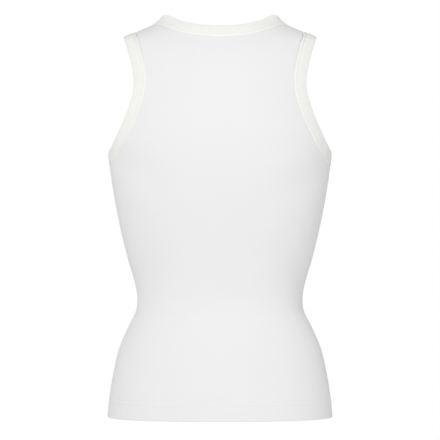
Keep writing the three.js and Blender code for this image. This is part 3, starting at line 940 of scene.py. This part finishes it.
@dataclass(frozen=True)
class Binding:
    """A folded band round an opening, with its fold as the opening's edge, sewn down near its seam."""

    form: GarmentForm
    fold: Array
    width: float
    mirrored: bool = False
    crown: float = 0.3  # how far the middle stands above its edges
    fold_round: float = 1.5
    seam_round: float = 1.9
    pull: SeamPull = SeamPull()
    needle_row: float = 4.2  # from the seam
    furrow_width: float = 0.75
    underside: float = -1.35
    tuck: float = 3.0  # how far the under layer reaches below the panel
    tuck_top: float = -1.0  # just below the panel's own cloth
    tuck_end: tuple[float, float] = (0.35, 0.75)  # how far the points round its end lie lower
    seam_reach: float = 1.6  # over which the seam draws the tuck in, with the panel
    ripple: float = 0.1
    waves: tuple[tuple[float, float, float], ...] = (
        # length, start, size
        (21, 0.4, 1),
        (13, 2.1, 0.6),
        (8, 4.4, 0.4),
    )
    upper_edge: float = -0.35  # level of the upper face at the fold
    upper_rise: float = 0.95  # from there to its flat part
    under_edge: float = -0.42  # level of the under face at the fold
    seam_drop: float = 0.55  # how far the upper face turns down at the seam by itself
    stitch_share: float = 0.5  # of the seam's pull, for the stitches
    allowance: float = 3.2  # width of the seam's layers inside
    allowance_blend: float = 0.5
    allowance_drop: float = 0.65  # how far they push the under face in

    def folded(self, across: Array) -> Array:
        """Return the rounding at the fold, from 0 to 1."""
        return np.sqrt(1 - np.clip(1 - across / self.fold_round, 0, 1) ** 2)

    def upper(self, across: Array) -> Array:
        """Return the upper face's height, at distances from the fold, where seams draw nothing in."""
        crown = self.crown * np.sin(np.pi * np.clip(across / self.width, 0, 1))
        return self.upper_edge + self.upper_rise * self.folded(across) + crown

    def drawn_in(self, across: Array, pull: Array) -> Array:
        """Return how far the seam and the stitches draw the upper face in, where the seam's pull is known."""
        seam = np.sqrt(1 - np.clip((across - self.width) / self.seam_round + 1, 0, 1) ** 2)
        furrow = bump_of(across - self.width + self.needle_row, self.furrow_width)
        return (self.seam_drop + pull) * (1 - seam) + self.stitch_share * pull * furrow

    def under(self, across: Array) -> Array:
        """Return the under face's height, at distances from the fold."""
        step = soft_step((across - self.width + self.allowance) / self.allowance_blend)
        flat = (self.underside - self.under_edge) * self.folded(across)
        return self.under_edge + flat - self.allowance_drop * step

    def profile(self) -> tuple[Array, Array, Array, Array]:
        """Return distances from the fold and heights, once round the section.

        The last two results tell which points are on the upper face and which on the top of the tuck.
        """
        seam = self.width
        needle = seam - self.needle_row
        near_fold = [0, 0.04, 0.14, 0.32, 0.6, 1.0, 1.5, 2.4]
        top = [*near_fold, *np.linspace(3.8, needle - 2.6, 6)]
        top += [needle + off for off in (-1.5, -1.0, -0.55, -0.2, 0, 0.2, 0.55, 1.0, 1.5)]
        top += [seam - off for off in (2.0, 1.25, 0.85, 0.5, 0.22, 0.06, 0)]
        bottom = [seam + 0.3, seam - 1.5, seam - 2.6, seam - 3.6, seam - 4.8, *np.linspace(seam - 7, 3, 5)]
        bottom += [1.5, 1.0, 0.6, 0.32, 0.14, 0.04]
        tuck = [seam + off for off in (0.03, 0.8, 1.6, 2.3, self.tuck, self.tuck + 0.2, self.tuck)]
        levels = [self.tuck_top] * 5 + [self.tuck_top - drop for drop in self.tuck_end]
        across = np.array([*top, *tuck, *bottom])
        heights = np.concatenate([self.upper(np.array(top)), levels, self.under(np.array(bottom))])
        number = np.arange(len(across))
        upper = number < len(top)
        tucked = ~upper & (number < len(top) + len(tuck))
        return across, heights, upper, tucked

    def facing(self, places: Array) -> Array:
        """Return places on the side of the body where this binding is."""
        return mirrored(places) if self.mirrored else places

    def rippled(self, count: int, across: Array, length: float) -> Array:
        """Return small uneven waves along the band, for each section and distance from the fold."""
        run = np.arange(count)[:, None] / count * 2 * np.pi
        shape = np.sin(np.pi * np.clip(across / self.width, 0, 1))
        waves = sum(size * np.sin(run * round(length / wave) + start) for wave, start, size in self.waves)
        return self.ripple * shape * waves

    def parts(self) -> MeshParts:
        """Return the band as a closed ring."""
        across, heights, upper, tucked = self.profile()
        stops = np.unique(across)
        loops = self.form.walk_off(self.fold, stops)
        places = self.facing(np.stack([loops[np.searchsorted(stops, spot)] for spot in across], 1))
        middle = self.form.smooth(loops[len(stops) // 2])
        length = float(np.linalg.norm(middle - np.roll(middle, 1, axis=0), axis=1).sum())
        lifted = heights + self.rippled(len(self.fold), across, length)
        pull = self.pull.depth(self.form.smooth(places))
        lifted -= self.drawn_in(across, pull) * upper
        lifted -= pull * bump_of(across - self.width, self.seam_reach) * tucked
        sections = self.form.raised(places, lifted)
        if self.mirrored:
            sections = sections[:, ::-1]
            across = across[::-1]
        around = np.concatenate([[0], np.cumsum(np.abs(np.diff(across, append=across[0])))])
        return ring(sections, around, length)

    def needle_path(self) -> Array:
        """Return the closed path of places under the row of stitches."""
        places = self.facing(self.form.walk_off(self.fold, [self.width - self.needle_row])[0])
        turn = places[0] + (round((places[-1, 0] - places[0, 0]) / (2 * math.pi)) * 2 * math.pi, 0)
        return np.vstack([places, turn])

    def thread_heights(self, points: Array) -> Array:
        """Return how high the stitches lie at points of the garment."""
        needle = np.array(self.width - self.needle_row)
        return self.upper(needle) - self.drawn_in(needle, self.pull.depth(points)) + STITCH_LIFT


@dataclass(frozen=True)
class Stitching:
    """A row of lockstitches along a path of places."""

    form: GarmentForm
    pitch: float = 2.9
    gap: float = 0.55  # between two stitches, where the thread passes through
    half_width: float = 0.24
    half_thick: float = 0.17
    arch: float = 0.12
    sunk: float = 0.3  # how far the ends go down into the cloth
    tip: float = 0.12  # share of the thread's size at its ends
    points: int = 7

    def parts(self, path: Array, height_at: Callable[[Array], Array]) -> MeshParts:
        """Return the stitches along a path, at heights off the surface that a function gives at points."""
        spots = self.form.surface(path)
        run = run_along(spots)
        count = max(1, round(run[-1] / self.pitch))
        pitch = run[-1] / count
        share = np.linspace(0, 1, self.points)
        starts = np.arange(count)[:, None] * pitch + self.gap / 2
        at = starts + share * (pitch - self.gap)
        places = np.stack([np.interp(at, run, path[:, k]) for k in (0, 1)], -1)
        bow = np.sin(np.pi * share)
        level = height_at(self.form.smooth(places)) - self.sunk
        heights = level + (self.arch + self.sunk) * np.sqrt(bow)
        normals = self.form.normals(self.form.surface, places)
        lines = self.form.raised(places, heights)
        ends = np.clip(np.sqrt(bow), self.tip, 1)
        return rods(lines, normals, self.half_width * ends, self.half_thick * ends)


@dataclass(frozen=True)
class SeamTape:
    """The sewn edges of two panels, pressed flat inside a seam."""

    form: GarmentForm
    pull: SeamPull = SeamPull()
    half_width: float = 4.0
    top: float = -1.0  # just below the panels' own cloth
    thickness: float = 0.9

    def parts(self, path: Array) -> MeshParts:
        """Return a strip along a path of places."""
        spots = self.form.surface(path)
        run = run_along(spots)
        normals = self.form.normals(self.form.surface, path)
        centre = self.form.raised(path, self.top - self.pull.depth(spots))
        ahead = unit(np.gradient(centre, axis=0))
        beside = unit(np.cross(ahead, normals))
        shares = np.array([-1, -0.94, -0.5, 0, 0.5, 0.94, 1])
        drop = np.array([0.3, 0, 0, 0, 0, 0, 0.3])
        flat = centre[:, None] + beside[:, None] * (shares * self.half_width)[:, None]
        outer = flat - normals[:, None] * drop[:, None]
        inner = flat - normals[:, None] * (self.thickness - drop)[:, None]
        grain = np.stack(np.broadcast_arrays(shares * self.half_width, run[:, None]), -1)
        return shell(outer, inner, grain)


def linear(colour: str) -> tuple[float, float, float, float]:
    """Turn an sRGB hex colour into linear values."""
    parts = [int(colour[i : i + 2], 16) / 255 for i in (1, 3, 5)]
    return (*[c / 12.92 if c <= 0.04045 else ((c + 0.055) / 1.055) ** 2.4 for c in parts], 1.0)


def add_node(
    tree: bpy.types.NodeTree, kind: str, inputs: dict | None = None, **settings
) -> bpy.types.Node:
    """Add a node to a tree.

    Args:
        tree: the node tree.
        kind: Blender's name for the kind of node.
        inputs: a value, or another node's output to link, for each input by its name or number.
        settings: the node's own settings.

    Returns:
        The node.
    """
    node = tree.nodes.new(kind)
    for name, value in settings.items():
        setattr(node, name, value)
    for name, value in (inputs or {}).items():
        if isinstance(value, bpy.types.NodeSocket):
            tree.links.new(value, node.inputs[name])
        else:
            node.inputs[name].default_value = value
    return node


def new_material(name: str) -> tuple[bpy.types.Material, bpy.types.NodeTree]:
    """Return a new material and its empty node tree."""
    material = bpy.data.materials.new(name)
    material.use_nodes = True
    material.node_tree.nodes.clear()
    return material, material.node_tree


def add_surface(tree: bpy.types.NodeTree, inputs: dict) -> None:
    """Add a surface with these inputs, and show it."""
    surface = add_node(tree, "ShaderNodeBsdfPrincipled", inputs)
    add_node(tree, "ShaderNodeOutputMaterial", {"Surface": surface.outputs[0]})


@dataclass(frozen=True)
class KnitFinish:
    """Knitted cotton with elastane: a matt, slightly fuzzy face of fine vertical wales.

    The wales are columns of V-shaped loops. Their slight relief breaks the light up softly, and the loose
    fibres give a faint sheen towards the edges.
    """

    name: str
    colour: str
    shade: str  # painted shade between the wales, and the cloth's own faint clouds of tone
    wale: float  # mm from wale to wale
    course: float  # mm from loop to loop along a wale
    relief: float  # mm
    leaning: float = 1.4  # of a loop's legs: loops for each wale
    ridge_share: float = 0.65  # of the relief
    loop_share: float = 0.35
    fuzz_share: float = 0.8
    fuzz_scale: float = 900
    cloud_scale: float = 14
    cloud_tint: float = 0.5  # how much the clouds shade the colour
    relief_painted_shade: float = -0.12  # how much painted shade the relief puts into the colour, darker between the wales
    roughness: float = 0.88
    sheen: float = 0.2

    def make(self) -> bpy.types.Material:
        """Build the material."""
        material, tree = new_material(self.name)
        grain = add_node(tree, "ShaderNodeUVMap", uv_map=GRAIN_LAYER)
        split = add_node(tree, "ShaderNodeSeparateXYZ", {0: grain.outputs[0]})
        across, along = split.outputs[0], split.outputs[1]

        def maths(operation: str, *values: float | bpy.types.NodeSocket) -> bpy.types.NodeSocket:
            """Add one sum and return its result."""
            return add_node(tree, "ShaderNodeMath", dict(enumerate(values)), operation=operation).outputs[0]

        column = maths("FRACT", maths("DIVIDE", across, self.wale))
        off_middle = maths("ABSOLUTE", maths("SUBTRACT", column, 0.5))
        slant = maths("ADD", maths("DIVIDE", along, self.course), maths("MULTIPLY", off_middle, self.leaning))
        loops = maths("SINE", maths("MULTIPLY", slant, 2 * math.pi))
        ridge = maths("COSINE", maths("MULTIPLY", off_middle, 2 * math.pi))
        ridges = maths("MULTIPLY", ridge, self.ridge_share)
        relief = maths("ADD", ridges, maths("MULTIPLY", loops, self.loop_share))
        place = add_node(tree, "ShaderNodeTexCoord").outputs["Object"]

        def noise(scale: float, detail: float) -> bpy.types.NodeSocket:
            """Add noise over the object and return its strength."""
            inputs = {"Vector": place, "Scale": scale, "Detail": detail}
            return add_node(tree, "ShaderNodeTexNoise", inputs).outputs[0]

        fuzz = noise(self.fuzz_scale, 3)
        clouds = noise(self.cloud_scale, 4)
        height = maths("ADD", relief, maths("MULTIPLY", fuzz, self.fuzz_share))
        bumps = {"Strength": 0.5, "Distance": self.relief * METRES, "Height": height}
        bump = add_node(tree, "ShaderNodeBump", bumps)
        # Painted shade: the colour darkens between the wales and lightens on their ridges, following the
        # relief.
        shading = maths("MULTIPLY", relief, self.relief_painted_shade)
        tint = maths("ADD", maths("MULTIPLY", clouds, self.cloud_tint), shading)
        shades = {0: tint, 6: linear(self.colour), 7: linear(self.shade)}
        colour = add_node(tree, "ShaderNodeMix", shades, data_type="RGBA", clamp_factor=True)
        add_surface(
            tree,
            {
                "Base Color": colour.outputs[2],
                "Roughness": self.roughness,
                "Sheen Weight": self.sheen,
                "Sheen Roughness": 0.6,
                "Specular IOR Level": 0.2,
                "Normal": bump.outputs[0],
            },
        )
        return material


@dataclass(frozen=True)
class ThreadFinish:
    """Spun polyester sewing thread: two twisted plies, whiter and a little glossier than the knit."""

    name: str = "spun_polyester_thread"
    colour: str = "#f4f4f1"
    # painted shade in the grooves between the twisted plies
    shade: str = "#e4e4e2"
    twist: float = 0.5  # mm from ply to ply
    relief: float = 0.1  # mm

    def make(self) -> bpy.types.Material:
        """Build the material."""
        material, tree = new_material(self.name)
        place = add_node(tree, "ShaderNodeTexCoord").outputs["Object"]
        scale = 1 / (self.twist * METRES) / 6
        plies = add_node(tree, "ShaderNodeTexWave", {"Vector": place, "Scale": scale, "Distortion": 1.0})
        plies.bands_direction = "DIAGONAL"
        # Painted shade: the colour darkens in the grooves of the twist, following the same waves as the bump.
        shades = {0: plies.outputs[1], 6: linear(self.shade), 7: linear(self.colour)}
        colour = add_node(tree, "ShaderNodeMix", shades, data_type="RGBA")
        bumps = {"Strength": 0.3, "Distance": self.relief * METRES, "Height": plies.outputs[1]}
        bump = add_node(tree, "ShaderNodeBump", bumps)
        add_surface(
            tree,
            {
                "Base Color": colour.outputs[2],
                "Roughness": 0.6,
                "Sheen Weight": 0.1,
                "Specular IOR Level": 0.35,
                "Normal": bump.outputs[0],
            },
        )
        return material


# Fine jersey has about 14 wales to the centimetre. They are drawn coarser, to show close up.
JERSEY = KnitFinish("white_cotton_jersey", "#f2f2f3", "#eeeef0", wale=1.2, course=1.0, relief=0.09)
# Ivory fine rib, cut across so that its wales cross the band. Drawn a little coarser than its 1 mm.
RIB = KnitFinish("ivory_fine_rib", "#f9f9f6", "#f4f4f1", wale=1.7, course=1.2, relief=0.16)
THREAD = ThreadFinish()


@dataclass
class TankTop:
    """The garment: panels, bindings, seams and stitching."""

    form: GarmentForm = field(default_factory=GarmentForm)
    hem: Hem = field(default_factory=Hem)
    front_strap_rows: int = 10
    hem_steps: int = 400  # of the path under a row of the hem's stitches
    tape_start: float = 1  # above the hem
    tape_end: float = 3.6  # below the armhole's seam
    side_steps: int = 90  # of a side seam's path
    shoulder_steps: int = 24
    shoulder_span: tuple[float, float] = (0.1, 0.9)  # the part of the shoulder seam between the bindings

    def __post_init__(self) -> None:
        """Cut the openings."""
        self.armhole = ArmholeCut(self.form)
        self.neck = NeckCut(self.form)
        self.jersey = JERSEY.make()
        self.rib = RIB.make()
        self.thread = THREAD.make()
        self.stitching = Stitching(self.form)

    def ride(self, obj: bpy.types.Object) -> bpy.types.Object:
        """Fix a piece to the garment's body."""
        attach(obj, "root")
        log.info("%s: %d faces", obj.name, len(obj.data.polygons))
        return obj

    def build_panel(self, side: Side) -> None:
        """Build a panel with its hem's stitching.

        Args:
            side: the back or the front.
        """
        node = f"{side.name.lower()}_panel"
        strap_rows = 0 if side is Side.BACK else self.front_strap_rows
        panel = Panel(side, self.form, self.armhole, self.neck, self.hem, strap_rows=strap_rows)
        cloth = self.ride(panel.parts().as_object(f"{node}_cloth", self.jersey))
        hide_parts(node)
        rows = [self.hem_path(panel, row) for row in self.hem.needle_rows]
        lines = [self.stitching.parts(path, self.hem.thread_heights) for path in rows]
        stitches = MeshParts.joined(lines).as_object(f"hem_stitching_{side.name.lower()}", self.thread)
        self.ride(stitches)
        with_pieces = [stitches]
        if side is Side.BACK:
            with_pieces += self.build_seams(panel)

    def hem_path(self, panel: Panel, row: float) -> Array:
        """Return the places under one row of the hem's stitches."""
        z = self.hem.height + row
        left = panel.side_edge(np.array([z]))[0, 0]
        angles = np.linspace(left, math.pi - left, self.hem_steps) * panel.side.value
        return np.stack([angles, np.full_like(angles, z)], -1)

    def build_seams(self, back: Panel) -> list[bpy.types.Object]:
        """Build the seams' edges inside, at the sides and over the shoulders, and return them."""
        under, top = back.armhole_edge[0], back.armhole_edge[-1]
        neck = back.neck_edge[0]
        ends = self.hem.top + self.tape_start, under[1] - self.tape_end
        side = back.side_edge(np.linspace(*ends, self.side_steps))
        share = np.linspace(*self.shoulder_span, self.shoulder_steps)[:, None]
        shoulder = top + (neck - top) * share
        tape = SeamTape(self.form)
        made = []
        for name, path in (("side", side), ("shoulder", shoulder)):
            for hand, places in (("left", path), ("right", mirrored(path))):
                obj = tape.parts(places).as_object(f"{name}_seam_{hand}", self.jersey)
                made.append(self.ride(obj))
        return made

    def build_binding(self, node: str, binding: Binding) -> None:
        """Build a binding with its row of stitches.

        Args:
            node: the node that it replaces.
            binding: its sizes.
        """
        band = self.ride(binding.parts().as_object(f"{node}_rib", self.rib))
        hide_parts(node)
        stitches = self.stitching.parts(binding.needle_path(), binding.thread_heights)
        row = self.ride(stitches.as_object(f"{node}_stitching", self.thread))

    def build(self) -> None:
        """Build every piece."""
        self.build_panel(Side.BACK)
        self.build_panel(Side.FRONT)
        neck = Binding(self.form, self.neck.fold, self.neck.band_width, seam_round=2.6)
        self.build_binding("neckband", neck)
        for hand, on_right in (("left", False), ("right", True)):
            armhole = Binding(self.form, self.armhole.fold, self.armhole.band_width, on_right)
            self.build_binding(f"armhole_band_{hand}", armhole)


@dataclass(frozen=True)
class Studio:
    """A white studio: a pale floor where the wearer would stand, and large soft lights beside the camera."""

    view_height: float = -0.2716
    distance: float = 4.2
    lens: float = 245.45
    floor: float = -1.42
    floor_half: float = 3.0
    surroundings: float = 0.42
    light_distance: float = 3.6

    def build(self) -> None:
        """Build the camera, the floor, the world and the lights."""
        self.add_camera()
        self.add_floor()
        self.add_world()
        self.add_light("key_softbox", azimuth=18, elevation=30, size=2.0, power=54.9)
        self.add_light("left_softbox", azimuth=58, elevation=0, size=2.8, power=13.8)
        self.add_light("right_softbox", azimuth=-58, elevation=6, size=2.8, power=33.0)
        self.add_light("left_rim", azimuth=105, elevation=0, size=2.0, power=7.6)
        scene = bpy.context.scene
        scene.view_settings.view_transform = "Standard"
        scene.view_settings.look = "None"

    def add_camera(self) -> None:
        """Add the camera behind the wearer's back, square to it."""
        data = bpy.data.cameras.new("camera")
        data.lens = self.lens
        data.sensor_width = 36
        camera = add_object("camera", data)
        camera.location = (0, self.distance, self.view_height)
        camera.rotation_euler = (math.radians(90), 0, math.radians(180))
        bpy.context.scene.camera = camera

    def add_floor(self) -> None:
        """Add the plain pale floor."""
        half = self.floor_half
        corners = [(x * half, y * half, self.floor) for x, y in ((-1, -1), (1, -1), (1, 1), (-1, 1))]
        mesh = bpy.data.meshes.new("floor")
        mesh.from_pydata(corners, [], [(0, 1, 2, 3)])
        material = bpy.data.materials.new("matt_white_paint")
        material.use_nodes = True
        surface = material.node_tree.nodes["Principled BSDF"]
        surface.inputs["Base Color"].default_value = linear("#f2f2f2")
        surface.inputs["Roughness"].default_value = 0.9
        mesh.materials.append(material)
        add_object("floor", mesh)

    def add_world(self) -> None:
        """Add white surroundings that the camera sees, and their dimmer light on the garment."""
        world = bpy.data.worlds.new("studio")
        world.use_nodes = True
        bpy.context.scene.world = world
        tree = world.node_tree
        tree.nodes.clear()
        seen = add_node(tree, "ShaderNodeBackground", {"Color": (1, 1, 1, 1), "Strength": 1.0})
        lit = add_node(tree, "ShaderNodeBackground", {"Color": (1, 1, 1, 1), "Strength": self.surroundings})
        path = add_node(tree, "ShaderNodeLightPath")
        shaders = {0: path.outputs["Is Camera Ray"], 1: lit.outputs[0], 2: seen.outputs[0]}
        both = add_node(tree, "ShaderNodeMixShader", shaders)
        add_node(tree, "ShaderNodeOutputWorld", {"Surface": both.outputs[0]})

    def add_light(self, name: str, azimuth: float, elevation: float, size: float, power: float) -> None:
        """Add a square soft light that faces the garment.

        Args:
            name: the light's name.
            azimuth: degrees from the camera's side towards the wearer's left.
            elevation: degrees above level.
            size: the side of the square.
            power: its power in watts.
        """
        turn, rise = math.radians(azimuth), math.radians(elevation)
        away = Vector((math.sin(turn) * math.cos(rise), math.cos(turn) * math.cos(rise), math.sin(rise)))
        data = bpy.data.lights.new(name, "AREA")
        data.size = size
        data.energy = power
        light = add_object(name, data)
        light.location = Vector((0, 0, self.view_height)) + away * self.light_distance
        light.rotation_euler = away.to_track_quat("Z", "Y").to_euler()


def main() -> None:
    """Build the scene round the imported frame."""
    logging.basicConfig(level=logging.INFO, format="%(name)s: %(message)s")
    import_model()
    Studio().build()
    TankTop().build()


if __name__ == "__main__":
    main()
